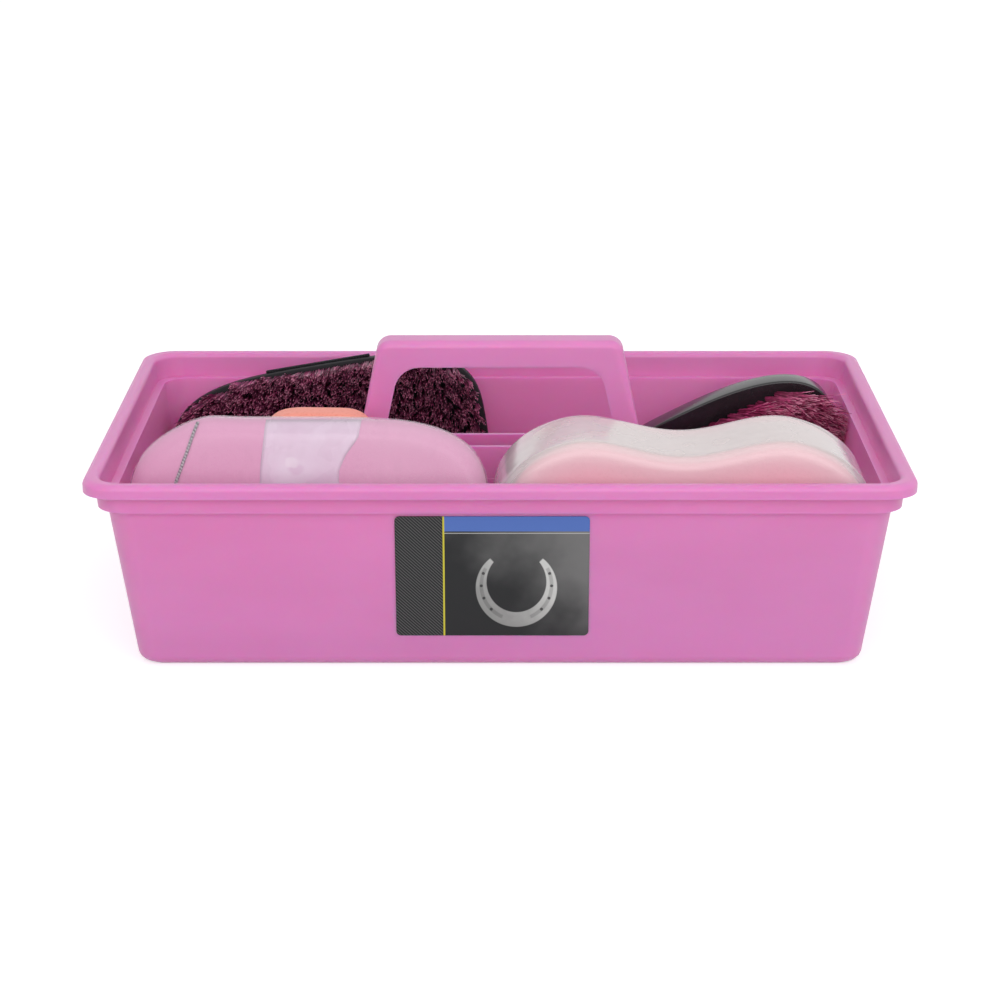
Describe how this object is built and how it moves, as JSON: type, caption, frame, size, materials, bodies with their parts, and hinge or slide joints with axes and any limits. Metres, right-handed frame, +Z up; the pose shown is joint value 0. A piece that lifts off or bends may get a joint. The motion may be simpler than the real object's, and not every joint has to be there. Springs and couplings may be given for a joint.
{
  "type": "horse grooming box",
  "caption": "Open moulded tack tray with drafted walls, a hollow centre divider and a carrying handle, filled with loose grooming brushes and wrapped sponges that lift out.",
  "frame": {"origin": "bottom centre of the tray, on the surface it stands on", "axes": "+X along the long side, to the right seen from the label; +Y from the label to the back; +Z up"},
  "size_m": [0.4268, 0.277, 0.1485],
  "materials": {
    "tray_pink": "satin moulded",
    "front_label_print": "printed",
    "stock_black": "black lacquer",
    "bristle_dark": "satin",
    "strap_webbing": "woven",
    "screw_steel": "plain",
    "bristle_magenta": "satin",
    "foam_pale_pink": "foam",
    "clear_film": "clear",
    "film_seam": "clear",
    "white_paper": "printed",
    "foam_rose": "foam",
    "foam_apricot": "foam"
  },
  "bodies": {
    "tray": {"tray": "tray_pink", "front_label": "front_label_print"},
    "body_brush": {"body_brush_stock": "stock_black", "body_brush_bristles": "bristle_dark", "body_brush_strap": "strap_webbing", "body_brush_screws": "screw_steel"},
    "dandy_brush": {"dandy_brush_stock": "stock_black", "dandy_brush_bristles": "bristle_magenta"},
    "pink_sponge_pack": {"pink_sponge": "foam_pale_pink", "pink_sponge_wrap": "clear_film", "pink_sponge_seal": "film_seam", "pink_sponge_label": "white_paper"},
    "hourglass_sponge_pack": {"hourglass_sponge": "foam_rose", "hourglass_sponge_wrap": "clear_film"},
    "tack_sponge": {"tack_sponge": "foam_apricot"}
  },
  "joints": [
    {"name": "body_brush_lift", "type": "slide", "parent": "tray", "child": "body_brush", "axis": [0, 0, 1], "range_m": [0, 0.16]},
    {"name": "dandy_brush_lift", "type": "slide", "parent": "tray", "child": "dandy_brush", "axis": [0, 0, 1], "range_m": [0, 0.16]},
    {"name": "pink_sponge_pack_lift", "type": "slide", "parent": "tray", "child": "pink_sponge_pack", "axis": [0, 0, 1], "range_m": [0, 0.16]},
    {"name": "hourglass_sponge_pack_lift", "type": "slide", "parent": "tray", "child": "hourglass_sponge_pack", "axis": [0, 0, 1], "range_m": [0, 0.16]},
    {"name": "tack_sponge_lift", "type": "slide", "parent": "tray", "child": "tack_sponge", "axis": [0, 0, 1], "range_m": [0, 0.16]}
  ]
}
